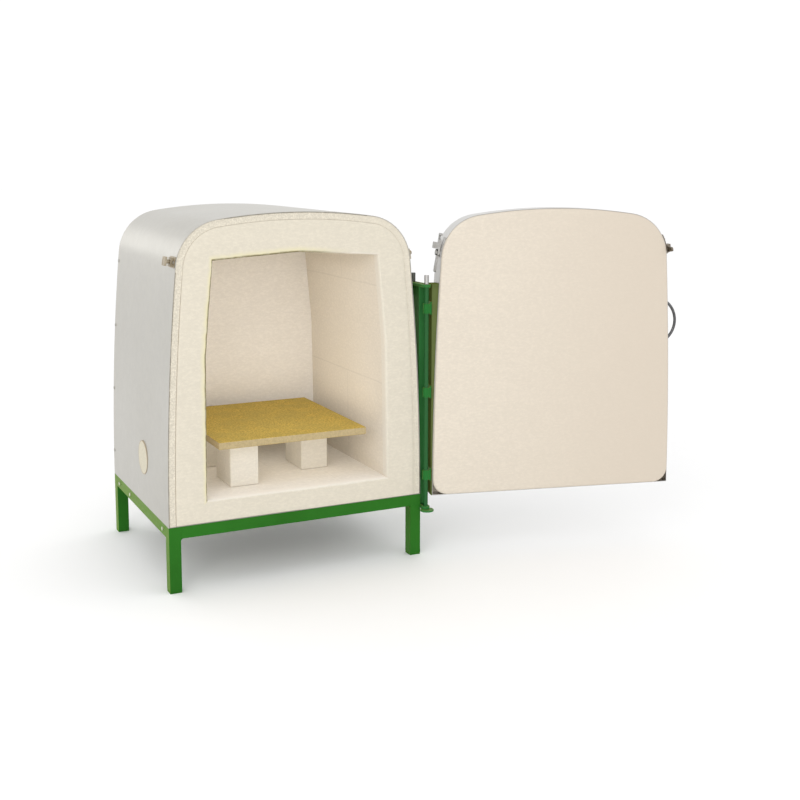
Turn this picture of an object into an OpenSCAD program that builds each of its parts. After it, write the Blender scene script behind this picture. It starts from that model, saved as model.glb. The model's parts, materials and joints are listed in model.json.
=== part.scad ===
// Front-loading gas kiln on a welded stand, with its door swung open.
// Front face towards -Y, origin on the floor at the centre of the stand's footprint.

/* [Casing] */
// Width of the casing at its base
body_w = 690; // [640:1:760]
// Depth of the casing from its front face to its back panel
body_d = 575; // [540:1:640]
// Height of the casing from the stand to the crown
body_h = 765; // [740:1:820]
// Radius of the gently bowed sides
side_r = 6500; // [5000:50:9000]
// Radius of the upper corners
corner_r = 125; // [105:1:150]
// Radius of the crown
crown_r = 1450; // [1200:10:2000]
// Thickness of the casing sheet
skin_t = 1.2; // [0.8:0.1:2]
// How far the casing sheet stops behind the front face
skin_set = 1.5; // [0.5:0.1:4]
// Thickness of the base plate under the floor slab
base_t = 2; // [1:0.5:4]
// Thickness of the back panel
back_t = 1.2; // [0.8:0.1:2]
// Depth of the back panel's rim inside the casing
back_rim = 18; // [12:1:25]
// Radius of a casing rivet's shank
rivet_r = 2; // [1.5:0.1:2.5]
// Radius of a casing rivet's head
rivet_head_r = 4; // [3.2:0.1:5]
// Height of a casing rivet's head
rivet_head_h = 1.6; // [1:0.1:2.5]
// Height of the lowest back rivet above the stand
back_rivet_z = 70; // [40:5:120]
// Height of the highest back rivet above the stand
back_rivet_top = 610; // [560:5:620]
// Number of back rivets up each side
back_rivet_count = 4; // [3:1:6]

/* [Lining] */
// Thickness of the fibre wrap under the casing sheet
wrap_t = 18; // [12:1:24]
// Thickness of the front board
board_t = 25; // [18:1:35]
// Depth of the chamber behind the front face
chamber_d = 512; // [480:1:518]
// Height of the chamber floor above the stand
floor_z = 58; // [45:1:70]
// Half the width of the chamber at its floor
floor_x = 246; // [230:1:255]
// Height of the bend in the chamber walls above the stand
bend_z = 421; // [380:1:460]
// Half the width of the chamber at the bend
bend_x = 241; // [225:1:246]
// Height of the top of the chamber walls above the stand
eaves_z = 650; // [620:1:660]
// Half the width of the chamber at the top of its walls
eaves_x = 220; // [205:1:230]
// Height of the chamber's ridge above the stand
ridge_z = 664; // [656:1:690]

/* [Stand] */
// Height of the stand from the floor to the casing
stand_h = 167; // [120:1:260]
// Width of the square tube
tube_w = 30; // [25:1:40]
// Wall of the square tube
tube_t = 2; // [1.5:0.1:3]
// Thickness of the plate closing each leg
foot_t = 4; // [3:0.5:6]
// Radius of a rail screw's shank
screw_r = 2.5; // [2:0.1:3]
// Radius of a rail screw's head
screw_head_r = 5; // [4:0.1:6]
// Height of a rail screw's head
screw_head_h = 2.6; // [2:0.1:4]
// Length of a rail screw behind its head
screw_l = 12; // [8:1:20]
// Distance between the last two screws of a side rail
screw_pair = 122; // [80:1:160]
// Distance of the first left rail screw behind the front
screw_front_left = 55; // [45:1:100]
// Distance of the first right rail screw behind the front
screw_front_right = 120; // [110:1:150]
// Distance of the last rail screw from the back
screw_back = 64; // [50:1:110]

/* [Burner port and flue] */
// Radius of the burner port
port_r = 44; // [30:0.5:48]
// Distance of the port's centre behind the front face
port_y = 238; // [180:1:320]
// Height of the port's centre above the stand
port_z = 124; // [112:1:140]
// How far the bung stands out of the casing
bung_out = 1.5; // [1:0.5:8]
// Gap between the bung and its port
bung_fit = 0.3; // [0.2:0.05:0.6]
// Inner radius of the flue
flue_r = 50; // [40:0.5:55]
// Height of the flue's centre above the stand
flue_z = 122; // [115:1:160]
// Wall of the flue collar
collar_t = 2; // [1.2:0.1:3]
// Length of the flue collar behind its flange
collar_l = 45; // [30:1:80]
// Width of the collar's flange outside its tube
flange_w = 20; // [15:1:30]

/* [Shelf] */
// Width of the shelf
shelf_w = 405; // [360:1:420]
// Depth of the shelf
shelf_d = 440; // [400:1:450]
// Thickness of the shelf
shelf_t = 19; // [15:0.5:25]
// Distance of the shelf behind the front face
shelf_y = 37; // [15:1:50]
// Width of a prop
prop_w = 76; // [60:1:80]
// Depth of a prop
prop_d = 122; // [100:1:125]
// Height of a prop
prop_h = 114; // [90:1:120]
// Distance of the left props inside the shelf's left edge
prop_in_left = 44.5; // [30:0.5:60]
// Distance of the right prop inside the shelf's right edge
prop_in_right = 57.5; // [40:0.5:70]
// Distance of the front and back props inside the shelf's front and back edges
prop_in_ends = 49; // [35:1:60]
// Distance of the right prop behind the shelf's front edge
prop_in_middle = 131; // [115:1:160]

/* [Hinge] */
// Radius of both hinge rods
rod_r = 6; // [5:0.1:7]
// Running clearance round a rod
rod_fit = 0.05; // [0.02:0.01:0.1]
// Distance of the rods outside the casing's base
rod_out = 12; // [11:0.5:16]
// Distance of the rear rod behind the front face
rod_rear_y = 69; // [60:1:80]
// Distance of the front rod before the front face
rod_front_y = 8; // [7:0.5:12]
// Height of the link's top above the stand
link_top = 568; // [530:1:570]
// How far the rods stand out of the link's top
rod_tip = 24; // [15:1:30]
// Height of the link's underside below the top of the stand
link_drop = 40; // [38:1:60]
// Thickness of the link's top and bottom plates
link_plate_t = 8; // [6:0.5:10]
// Thickness of the link's web
web_t = 10; // [6:0.5:12]
// Distance of the link's front face behind the front rod's centre
face_gap = 20; // [17:0.5:24]
// Thickness of the link's front face
face_t = 5; // [4:0.5:8]
// Gap between the link's web and the rear rod's centre
web_gap = 13; // [12.5:0.1:16]
// Radius of the bosses round the rods
boss_r = 11; // [9.5:0.1:11.5]
// Radius of the round foot under the front rod
foot_r = 18; // [14:0.5:18.5]
// Distance of the round foot's centre before the front rod
foot_ahead = 8; // [8:0.5:10]
// Thickness of the round foot
foot_disc_t = 4; // [3:0.5:10]
// Height of the casing bracket and of each door lug
lug_h = 34; // [26:1:40]
// Thickness of the leaf at the foot of the door's hinge side
leaf_t = 3; // [2:0.5:4]
// Thickness of the flanges of the bracket and the lugs
lug_t = 4; // [3:0.5:6]
// Width of the lugs' arms
lug_arm = 10; // [8:0.5:12]
// Width of the leaf and of the lugs' flanges across the door's side
lug_reach = 44; // [36:1:50]
// Radius of the boss of a door lug
lug_boss_r = 9; // [8:0.1:10]
// Height of the lowest door lug's centre above the stand
lug_z = 54; // [40:1:80]
// Distance of the highest door lug's centre below the link's top
lug_drop = 64; // [40:1:100]
// Width of the casing bracket's flange
bracket_w = 64; // [50:1:80]
// Distance of a lug's outer bolt from the end of its flange
lug_bolt_in = 9; // [7:0.5:12]
// Spacing of a lug's two bolts
lug_bolt_pitch = 19; // [14:0.5:22]
// Radius of a hinge bolt's head
bolt_r = 5; // [4:0.1:5.5]
// Height of a hinge bolt's head
bolt_h = 4; // [3:0.1:5]

/* [Door] */
// How far the open door is turned from its closed place
door_open = 166; // [140:1:170]
// Gap between the closed door's pad and the front face
door_gap = 0.5; // [0.3:0.1:2]
// Thickness of the door
door_t = 64; // [58:1:80]
// Distance of the door's sides inside the casing's sides
door_in = 5.5; // [2:0.5:8]
// Radius of the door's sides
door_side_r = 10000; // [9000:100:12000]
// Radius of the door's upper corners
door_corner_r = 120; // [110:1:135]
// Distance of the door's lower edge below the top of the stand
door_drop = 4; // [1:0.5:8]
// Thickness of the door pan's sheet
pan_t = 1.5; // [1:0.1:2]
// How far the pad stands out of the pan
pad_out = 6; // [3:0.5:10]
// Thickness of the pad
pad_t = 32; // [25:1:40]
// Radius of the pad's lower corners
pad_corner_r = 40; // [20:1:50]
// Height of the handle's centre above the stand
handle_z = 450; // [400:1:500]
// Distance between the handle's feet
handle_l = 118; // [96:1:130]
// How far the handle stands out
handle_out = 37; // [28:0.5:40]
// Radius of the handle's rod
handle_r = 3.9; // [3:0.1:5]
// Radius of each foot of the handle
handle_foot_r = 9; // [7.5:0.1:12]
// Thickness of each foot of the handle
handle_foot_t = 3; // [2:0.1:5]

/* [Latches] */
// Direction of the latch's pivot above the horizontal
latch_angle = 9.5; // [8:0.5:14]
// Distance of the pivot before the front face
latch_y = 16; // [15:0.5:20]
// Distance from the pivot to the keeper's post
hook_l = 40; // [38:0.5:42]
// Height of the hook above the door's side
hook_lift = 5; // [4.5:0.1:7]
// Thickness of the hook lever
hook_t = 5; // [3:0.5:6]
// Width of the hook's head
hook_w = 22; // [20:0.5:24]
// Length of the raised block on the hook
claw_l = 17; // [10:0.5:17]
// Height of the raised block on the hook
claw_h = 12; // [5:0.5:14]
// Width of the lever's handle
grip_w = 12; // [9:0.5:14]
// Length of the hinge side's lever beyond the pivot
grip_l = 52; // [40:1:60]
// Length of the free side's lever beyond the pivot
free_grip_l = 32; // [28:0.5:33]
// Radius of the pivot stud
stud_r = 5; // [4:0.1:5.5]
// Radius of the stud's nut across its corners
nut_r = 8; // [7:0.1:9]
// Height of the stud's nut
nut_h = 4; // [3:0.1:6]
// Thickness of the latch's base plate and of the keeper's plate
plate_t = 3; // [2:0.1:3.2]
// Width of the latch's base plate
latch_w = 20; // [18:0.5:22]
// Length of the base plate above the pivot
latch_up = 42; // [30:1:50]
// Length of the base plate below the pivot
latch_down = 12; // [10:1:20]
// Radius of the keeper's post
post_r = 5; // [4:0.1:6]
// Gap between the keeper's post and the hook's slot
post_fit = 0.4; // [0.3:0.05:0.8]
// Side of the square head of the left keeper's post
post_head_w = 22; // [18:0.5:22]
// Thickness of the left keeper's head
post_head_t = 6; // [3:0.5:7]
// Gap between the hook and the keeper's block or head
post_play = 1.5; // [1:0.1:2]
// Width of the keeper's plate
keeper_w = 43; // [42:0.5:45]
// Height of the keeper's plate
keeper_h = 27; // [24:1:30]

/* [Hidden] */
$fn = 48;

green = "#1f6b2c";
steel = "#c9cbcb";
cream = "#eadfcb";
black = "#26221f";

// Seating gap between pieces that lie on each other
seat = 0.2;
// Cutting tools run this far past what they cut
over = 1;
// Chords along each side, corner and half crown of an outline
side_n = 10;
corner_n = 12;
crown_n = 10;

// An outline is [width, height, side radius, corner radius, crown radius]
body = [body_w, body_h, side_r, corner_r, crown_r];
door = [body_w - 2 * door_in, body_h, door_side_r, door_corner_r, crown_r];

wrap_in = skin_t + seat;
lining_in = wrap_in + wrap_t + seat;
back_y = body_d - back_t;
rim_y = body_d - back_rim;
slab_end = back_y - seat;
port_bore = port_r + bung_fit;
rod_x = body_w / 2 + rod_out;
rod_bore = rod_r + rod_fit;
rod_front = [rod_x, -rod_front_y];
rod_rear = [rod_x, rod_rear_y];
link_base = -link_drop;
rod_top = link_top + rod_tip;
face_y = face_gap - rod_front_y;
pad_y = -door_gap;
rim_front = pad_y - pad_out;
door_back = pad_y - door_t;
door_foot = -door_drop;
pivot_y = -latch_y;
post_y = pivot_y + hook_l;
bracket_top = link_top - link_plate_t - seat;
bracket_z = bracket_top - lug_h / 2;
lug_top = link_top - lug_drop;
lug_zs = [lug_z, (lug_z + lug_top) / 2, lug_top];
leaf_x = door[0] / 2 + seat + leaf_t;
lug_face = leaf_x + seat + lug_t;
slot_r = post_r + post_fit;
shelf_z = floor_z + prop_h;
prop_left_x = prop_in_left - shelf_w / 2;
prop_right_x = shelf_w / 2 - prop_in_right - prop_w;
prop_front_y = shelf_y + prop_in_ends;
prop_right_y = shelf_y + prop_in_middle;
prop_back_y = shelf_y + shelf_d - prop_in_ends - prop_d;

function side_centre(o) = [o[0] / 2 - o[2], 0];
function crown_centre(o) = [0, o[1] - o[4]];
// Centre of the corner arc that touches the side arc and the crown arc from inside
function corner_centre(o) =
  let (a = side_centre(o), b = crown_centre(o), ra = o[2] - o[3], rb = o[4] - o[3])
  let (d = norm(b - a), e = (b - a) / d, along = (ra * ra - rb * rb + d * d) / (2 * d))
  a + along * e + sqrt(ra * ra - along * along) * [-e.y, e.x];
function direction(from, to) = atan2(to.y - from.y, to.x - from.x);
function corner_start(o) = direction(side_centre(o), corner_centre(o));
function corner_end(o) = direction(crown_centre(o), corner_centre(o));
function arc(c, r, a, b, first, n) =
  [for (i = [first:n]) c + r * [cos(a + (b - a) * i / n), sin(a + (b - a) * i / n)]];
// Right half of an outline drawn in by t, from height foot up to the crown
function half_outline(o, t, foot) =
  concat(
    arc(side_centre(o), o[2] - t, asin(foot / (o[2] - t)), corner_start(o), 0, side_n),
    arc(corner_centre(o), o[3] - t, corner_start(o), corner_end(o), 1, corner_n),
    arc(crown_centre(o), o[4] - t, corner_end(o), 90, 1, crown_n)
  );
function outline(o, t, foot = 0) =
  let (h = half_outline(o, t, foot))
  concat(h, [for (i = [len(h) - 2:-1:0]) [-h[i].x, h[i].y]]);
// Half width of an outline's side at height z
function side_x(o, z) = side_centre(o).x + sqrt(o[2] * o[2] - z * z);
function side_angle(o, z) = asin(z / o[2]);

// Point on an outline's corner arc at the given angle
function corner_point(o, angle) = corner_centre(o) + o[3] * [cos(angle), sin(angle)];

function chamber() = [
  [-floor_x, floor_z], [floor_x, floor_z], [bend_x, bend_z], [eaves_x, eaves_z],
  [0, ridge_z], [-eaves_x, eaves_z], [-bend_x, bend_z]
];

// Places children from the front face's frame, with the top of the stand at zero height
module kiln() {
  translate([0, -body_d / 2, stand_h]) children();
}

// Places children drawn on the closed door at the open door
module open_door() {
  kiln()
    translate(rod_front)
      rotate([0, 0, door_open])
        translate(-rod_front)
          children();
}

// Extrudes an upright outline from y = from to y = to
module slab(from, to) {
  translate([0, to, 0])
    rotate([90, 0, 0])
      linear_extrude(to - from)
        children();
}

// Local frame on the side of an outline at height z, with +X pointing out of it
module on_side(o, z) {
  translate([side_x(o, z), 0, z])
    rotate([0, -side_angle(o, z), 0])
      children();
}

// Local frame on the corner of an outline, with +X pointing out of it at the given angle
module on_corner(o, angle) {
  p = corner_point(o, angle);
  translate([p.x, 0, p.y])
    rotate([0, -angle, 0])
      children();
}

// Cylinder along +X from x = from to x = to
module along_x(r, from, to, sides = $fn) {
  translate([from, 0, 0])
    rotate([0, 90, 0])
      cylinder(r = r, h = to - from, $fn = sides);
}

module tube(length) {
  difference() {
    cube([tube_w, tube_w, length]);
    translate([tube_t, tube_t, -over])
      cube([tube_w - 2 * tube_t, tube_w - 2 * tube_t, length + 2 * over]);
  }
}

module leg(right, back) {
  color(green)
    kiln()
      translate([
        right ? body_w / 2 - tube_w : -body_w / 2,
        back ? body_d - tube_w : 0,
        foot_t - stand_h
      ])
        tube(stand_h - foot_t);
}

module leg_feet() {
  color(green)
    kiln()
      for (x = [-body_w / 2, body_w / 2 - tube_w], y = [0, body_d - tube_w])
        translate([x, y, -stand_h]) cube([tube_w, tube_w, foot_t]);
}

module cross_rail(y) {
  color(green)
    kiln()
      translate([tube_w - body_w / 2, y, 0])
        rotate([0, 90, 0])
          tube(body_w - 2 * tube_w);
}

screw_last = body_d - screw_back;
function screw_ys(front) = [front, screw_last - screw_pair, screw_last];

// Rail along the right-hand side; its screw holes start at the given distance
module side_rail(front) {
  difference() {
    translate([body_w / 2 - tube_w, body_d - tube_w, -tube_w])
      rotate([90, 0, 0])
        tube(body_d - 2 * tube_w);
    for (y = screw_ys(front))
      translate([0, y, -tube_w / 2])
        along_x(screw_r + seat, body_w / 2 - tube_t - over, body_w / 2 + over);
  }
}

module rail_left() {
  color(green) kiln() mirror([1, 0, 0]) side_rail(screw_front_left);
}

module rail_right() {
  color(green) kiln() side_rail(screw_front_right);
}

module side_screws(front) {
  for (y = screw_ys(front))
    translate([body_w / 2, y, -tube_w / 2]) {
      along_x(screw_r, -screw_l, 0);
      along_x(screw_head_r, 0, screw_head_h);
    }
}

module rail_screws() {
  color(steel)
    kiln() {
      side_screws(screw_front_right);
      mirror([1, 0, 0]) side_screws(screw_front_left);
    }
}

module base_plate() {
  color(steel)
    kiln()
      translate([wrap_in - body_w / 2, skin_set, 0])
        cube([body_w - 2 * wrap_in, back_y - seat - skin_set, base_t]);
}

// Bore of the burner port through the left wall
module port_cut(r) {
  translate([0, port_y, port_z])
    along_x(r, -body_w / 2 - over, 0);
}

back_rivet_gap = (back_rivet_top - back_rivet_z) / (back_rivet_count - 1);
back_rivet_zs = [for (i = [0:back_rivet_count - 1]) back_rivet_z + i * back_rivet_gap];

// Children at each rivet of the back panel's rim, up both sides
module at_back_rivets() {
  for (side = [0, 1], z = back_rivet_zs)
    mirror([side, 0, 0])
      on_side(body, z)
        translate([0, body_d - back_rim / 2, 0])
          children();
}

// Arched layer of the casing between two insets of its outline, standing on height foot
module arch(outer, inner, foot) {
  difference() {
    polygon(outline(body, outer, foot));
    polygon(outline(body, inner, foot - over));
  }
}

module casing_sheet() {
  color(steel)
    kiln()
      difference() {
        slab(skin_set, body_d) arch(0, skin_t, 0);
        port_cut(port_bore);
        at_back_rivets() along_x(rivet_r + seat, -2 * skin_t, over);
      }
}

module back_panel() {
  color(steel)
    kiln()
      difference() {
        slab(rim_y, body_d) polygon(outline(body, wrap_in, base_t + seat));
        slab(rim_y - over, back_y)
          polygon(outline(body, wrap_in + back_t, base_t + seat + back_t));
        translate([0, back_y, flue_z])
          rotate([-90, 0, 0])
            translate([0, 0, -over])
              cylinder(r = flue_r + collar_t + seat, h = back_t + 2 * over);
        at_back_rivets() along_x(rivet_r + seat, -wrap_in - back_t - over, over);
      }
}

module back_rivets() {
  color(steel)
    kiln()
      at_back_rivets() {
        along_x(rivet_r, -wrap_in - back_t, seat);
        along_x(rivet_head_r, seat, seat + rivet_head_h);
      }
}

flue_screw_angles = [45:90:315];
flue_screw_pcd = flue_r + collar_t + flange_w / 2;

module at_flue_screws() {
  for (a = flue_screw_angles)
    translate([flue_screw_pcd * cos(a), 0, flue_screw_pcd * sin(a)])
      rotate([-90, 0, 0])
        children();
}

module flue_collar() {
  color(steel)
    kiln()
      translate([0, body_d, flue_z])
        difference() {
          rotate([-90, 0, 0])
            difference() {
              union() {
                cylinder(r = flue_r + collar_t + flange_w, h = collar_t);
                cylinder(r = flue_r + collar_t, h = collar_l);
              }
              translate([0, 0, -over]) cylinder(r = flue_r, h = collar_l + 2 * over);
            }
          at_flue_screws() translate([0, 0, -over]) cylinder(r = screw_r + seat, h = collar_t + 2 * over);
        }
}

module flue_screws() {
  color(steel)
    kiln()
      translate([0, body_d, flue_z])
        at_flue_screws() {
          cylinder(r = screw_r, h = collar_t);
          translate([0, 0, collar_t]) cylinder(r = screw_head_r, h = screw_head_h);
        }
}

module fibre_wrap() {
  color(cream)
    kiln()
      difference() {
        slab(0, rim_y - seat) arch(wrap_in, wrap_in + wrap_t, base_t);
        port_cut(port_bore);
      }
}

module front_board() {
  color(cream)
    kiln()
      slab(0, board_t)
        difference() {
          polygon(outline(body, lining_in, base_t));
          polygon(chamber());
        }
}

module floor_slab() {
  color(cream)
    kiln()
      translate([-floor_x, board_t, base_t])
        cube([2 * floor_x, chamber_d - board_t, floor_z - base_t]);
}

// Right-hand wall between the chamber and the fibre wrap
module wall_shape() {
  intersection() {
    polygon(outline(body, lining_in, base_t));
    polygon([
      [floor_x, base_t], [floor_x, floor_z], [bend_x, bend_z], [eaves_x, eaves_z],
      [body_w, eaves_z], [body_w, base_t]
    ]);
  }
}

module wall_right() {
  color(cream) kiln() slab(board_t, chamber_d) wall_shape();
}

module wall_left() {
  color(cream)
    kiln()
      difference() {
        slab(board_t, chamber_d) mirror([1, 0]) wall_shape();
        port_cut(port_bore);
      }
}

// Right-hand half of the roof, resting on the wall and meeting the other half at the ridge
module roof_shape() {
  intersection() {
    polygon(outline(body, lining_in, base_t));
    polygon([[0, ridge_z], [eaves_x, eaves_z], [body_w, eaves_z], [body_w, body_h], [0, body_h]]);
  }
}

module roof_right() {
  color(cream) kiln() slab(board_t, chamber_d) roof_shape();
}

module roof_left() {
  color(cream) kiln() slab(board_t, chamber_d) mirror([1, 0]) roof_shape();
}

module back_slab() {
  color(cream)
    kiln()
      difference() {
        slab(chamber_d, slab_end) polygon(outline(body, lining_in, base_t + seat + back_t + seat));
        translate([0, chamber_d - over, flue_z])
          rotate([-90, 0, 0])
            cylinder(r = flue_r, h = body_d);
      }
}

module prop(x, y) {
  color(cream) kiln() translate([x, y, floor_z]) cube([prop_w, prop_d, prop_h]);
}

module shelf() {
  color("#b08a3c")
    kiln()
      translate([-shelf_w / 2, shelf_y, shelf_z])
        cube([shelf_w, shelf_d, shelf_t]);
}

module burner_bung() {
  color(cream)
    kiln()
      translate([0, port_y, port_z])
        along_x(port_r, -side_x(body, port_z) - bung_out, -floor_x);
}

// Plate of thickness plate_t that follows an outline's corner, from below to above the given angle
module corner_plate(o, angle, below, above) {
  intersection() {
    difference() {
      polygon(outline(o, -seat - plate_t));
      polygon(outline(o, -seat));
    }
    translate(corner_centre(o))
      rotate(angle)
        translate([o[3] / 2, -below])
          square([o[3], below + above]);
  }
}

// The keeper's post is raised along the casing to be level with the latch's pivot,
// and stands out far enough for the hook to turn round it
latch_step = corner_point(door, latch_angle) - corner_point(body, latch_angle);
keeper_up = latch_step * [-sin(latch_angle), cos(latch_angle)];
keeper_out = latch_step * [cos(latch_angle), sin(latch_angle)];
hook_low = keeper_out + hook_lift;
hook_high = hook_low + hook_t;
keeper_rivet_at = keeper_w / 2 - rivet_head_r - over;

module at_keeper_rivets() {
  for (dy = [-1, 1])
    on_corner(body, latch_angle)
      translate([0, post_y + dy * keeper_rivet_at, keeper_up])
        children();
}

// Square block along +X from x = from to x = to
module block_along_x(w, from, to) {
  translate([from, -w / 2, -w / 2]) cube([to - from, w, w]);
}

// Keeper on the right-hand side: plate and post, and for a headed one a block below the hook and a head
module keeper(headed) {
  difference() {
    slab(post_y - keeper_w / 2, post_y + keeper_w / 2)
      corner_plate(body, latch_angle, keeper_h / 2 - keeper_up, keeper_h / 2 + keeper_up);
    at_keeper_rivets() along_x(rivet_r + seat, -over, seat + plate_t + over);
  }
  on_corner(body, latch_angle)
    translate([0, post_y, keeper_up]) {
      along_x(post_r, seat + plate_t / 2, hook_high - over);
      if (headed) {
        block_along_x(post_head_w, seat + plate_t / 2, hook_low - post_play);
        along_x(post_r, hook_low - post_play - over, hook_high + post_play + over);
        block_along_x(post_head_w, hook_high + post_play, hook_high + post_play + post_head_t);
      }
    }
}

module keeper_right() {
  color("#8d7a5e") kiln() keeper(false);
}

module keeper_left() {
  color("#8d7a5e") kiln() mirror([1, 0, 0]) keeper(true);
}

module keeper_rivets() {
  color(steel)
    kiln()
      for (side = [0, 1])
        mirror([side, 0, 0])
          at_keeper_rivets() {
            along_x(rivet_r, 2 * seat, seat + plate_t + seat);
            along_x(rivet_head_r, seat + plate_t + seat, seat + plate_t + seat + rivet_head_h / 2);
          }
}

// Boss round a hinge rod, standing on z
module boss(place, z, r, h) {
  translate([place.x, place.y, z]) cylinder(r = r, h = h);
}

module rod_hole(place, z, h) {
  translate([place.x, place.y, z - over]) cylinder(r = rod_bore, h = h + 2 * over);
}

module hinge_rail_lug() {
  color(green)
    kiln()
      difference() {
        union() {
          boss(rod_rear, -tube_w, boss_r, tube_w);
          translate([body_w / 2, rod_rear_y - boss_r, -tube_w])
            cube([rod_out, 2 * boss_r, tube_w]);
        }
        rod_hole(rod_rear, -tube_w, tube_w);
      }
}

// Children at each rivet of the casing bracket's flange
module at_bracket_rivets() {
  for (dy = [-1, 1])
    on_side(body, bracket_z)
      translate([0, rod_rear_y + dy * (bracket_w / 2 - 2 * rivet_head_r), 0])
        children();
}

module hinge_bracket() {
  arm_x = side_x(body, bracket_z) + lug_t / 2;
  arm_z = bracket_z - lug_h / 4;
  color(green)
    kiln()
      difference() {
        union() {
          on_side(body, bracket_z)
            translate([seat, rod_rear_y - bracket_w / 2, -lug_h / 2])
              cube([lug_t, bracket_w, lug_h]);
          translate([arm_x, rod_rear_y - lug_arm, arm_z])
            cube([rod_x - arm_x, 2 * lug_arm, bracket_top - arm_z]);
          boss(rod_rear, arm_z, boss_r, bracket_top - arm_z);
        }
        rod_hole(rod_rear, bracket_z - lug_h, 2 * lug_h);
        at_bracket_rivets() along_x(rivet_r + seat, -over, seat + lug_t + over);
      }
}

module bracket_rivets() {
  color(steel)
    kiln()
      at_bracket_rivets() {
        along_x(rivet_r, 2 * seat, seat + lug_t);
        along_x(rivet_head_r, seat + lug_t, seat + lug_t + rivet_head_h);
      }
}

module hinge_rod_rear() {
  color(steel) kiln() boss(rod_rear, link_base, rod_r, rod_top - link_base);
}

// Web of the link between its plates, with a face at its front end that reaches to the casing
module link_web() {
  web_h = link_top - link_base - 2 * link_plate_t;
  color(green)
    kiln()
      translate([rod_x, face_y, link_base + link_plate_t]) {
        translate([-web_t / 2, 0, 0]) cube([web_t, rod_rear_y - web_gap - face_y, web_h]);
        translate([-boss_r, 0, 0]) cube([boss_r + web_t / 2, face_t, web_h]);
      }
}

module link_plate(z) {
  color(green)
    kiln()
      difference() {
        union() {
          boss(rod_front, z, boss_r, link_plate_t);
          boss(rod_rear, z, boss_r, link_plate_t);
          translate([rod_x - boss_r, -rod_front_y, z])
            cube([2 * boss_r, rod_rear_y + rod_front_y, link_plate_t]);
        }
        rod_hole(rod_front, z, link_plate_t);
        rod_hole(rod_rear, z, link_plate_t);
      }
}

module link_foot() {
  color(green)
    kiln()
      boss(rod_front - [0, foot_ahead], link_base - foot_disc_t, foot_r, foot_disc_t);
}

module hinge_rod_front() {
  color(steel)
    open_door()
      boss(rod_front, link_base + seat, rod_r, rod_top - link_base - seat);
}

lug_bolt_ys = [for (i = [0, 1]) rim_front - lug_reach + lug_bolt_in + i * lug_bolt_pitch];

// Children at each bolt of the lug at height z
module at_lug_bolts(z) {
  for (y = lug_bolt_ys)
    translate([0, y, z]) children();
}

// Leaf on the closed door's hinge side, from the door's foot to the link's top:
// upright towards the hinge, and fitted to the bowed side behind it
module door_leaf() {
  color(green)
    open_door()
      difference() {
        slab(rim_front - lug_reach, rim_front)
          difference() {
            translate([0, door_foot]) square([leaf_x, link_top - door_foot]);
            polygon(outline(door, -seat, door_foot - over));
          }
        for (z = lug_zs)
          at_lug_bolts(z) along_x(rivet_r + seat, side_x(door, z) - over, leaf_x + over);
      }
}

// Lug on the closed door's hinge side, with its flange on the leaf and its boss on the front rod
module door_lug(z) {
  arm_x = leaf_x + lug_t / 2;
  arm_h = lug_h - 2 * lug_t;
  color(green)
    open_door()
      difference() {
        union() {
          translate([leaf_x + seat, rim_front - lug_reach, z - lug_h / 2])
            cube([lug_t, lug_reach, lug_h]);
          translate([arm_x, -rod_front_y - lug_arm / 2, z - arm_h / 2])
            cube([rod_x - arm_x, lug_arm, arm_h]);
          boss(rod_front, z - arm_h / 2, lug_boss_r, arm_h);
        }
        rod_hole(rod_front, z - lug_h, 2 * lug_h);
        at_lug_bolts(z) along_x(rivet_r + seat, leaf_x, lug_face + over);
      }
}

module lug_bolts() {
  color(steel)
    open_door()
      for (z = lug_zs)
        at_lug_bolts(z) {
          along_x(rivet_r, side_x(door, z) + 2 * seat, lug_face);
          along_x(bolt_r, lug_face, lug_face + bolt_h, 6);
        }
}

module door_pan() {
  color(steel)
    open_door()
      difference() {
        slab(door_back, rim_front) polygon(outline(door, 0, door_foot));
        slab(door_back + pan_t, rim_front + over)
          polygon(outline(door, pan_t, door_foot + pan_t));
      }
}

module door_backing() {
  color(cream)
    open_door()
      slab(door_back + pan_t, pad_y - pad_t)
        polygon(outline(door, pan_t + seat, door_foot + pan_t));
}

// Outline of the pad, with round lower corners
module pad_shape() {
  foot = door_foot + pan_t;
  r = pad_corner_r;
  x = side_x(door, foot) - pan_t - seat;
  difference() {
    polygon(outline(door, pan_t + seat, foot));
    for (side = [0, 1])
      mirror([side, 0])
        difference() {
          translate([x - r, foot - over]) square([r + over, r + over]);
          translate([x - r, foot + r]) circle(r);
        }
  }
}

module door_pad() {
  color(cream) open_door() slab(pad_y - pad_t, pad_y) pad_shape();
}

handle_y = (rim_front + door_back) / 2;
bow_r = (handle_l * handle_l / 4 + handle_out * handle_out) / (2 * handle_out);

// Bow handle on the closed door's free side
module door_handle() {
  color(black)
    open_door()
      mirror([1, 0, 0])
        on_side(door, handle_z)
          intersection() {
            translate([handle_out - bow_r - handle_r, handle_y, 0])
              rotate([90, 0, 0])
                rotate_extrude()
                  translate([bow_r, 0]) circle(handle_r);
            translate([seat + handle_foot_t, handle_y - handle_out, -handle_l])
              cube([2 * handle_out, 2 * handle_out, 2 * handle_l]);
          }
}

module handle_feet() {
  color(black)
    open_door()
      mirror([1, 0, 0])
        on_side(door, handle_z)
          for (s = [-1, 1])
            translate([0, handle_y, s * handle_l / 2])
              along_x(handle_foot_r, seat, seat + handle_foot_t);
}

// Places children drawn on the hinge side's latch at the hinge side or the free side
module latch(free_side) {
  open_door() mirror([free_side ? 1 : 0, 0, 0]) children();
}

module latch_base(free_side) {
  color(steel)
    latch(free_side)
      slab(pivot_y - latch_w / 2, pivot_y + latch_w / 2 - over)
        corner_plate(door, latch_angle, latch_down, latch_up);
}

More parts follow.
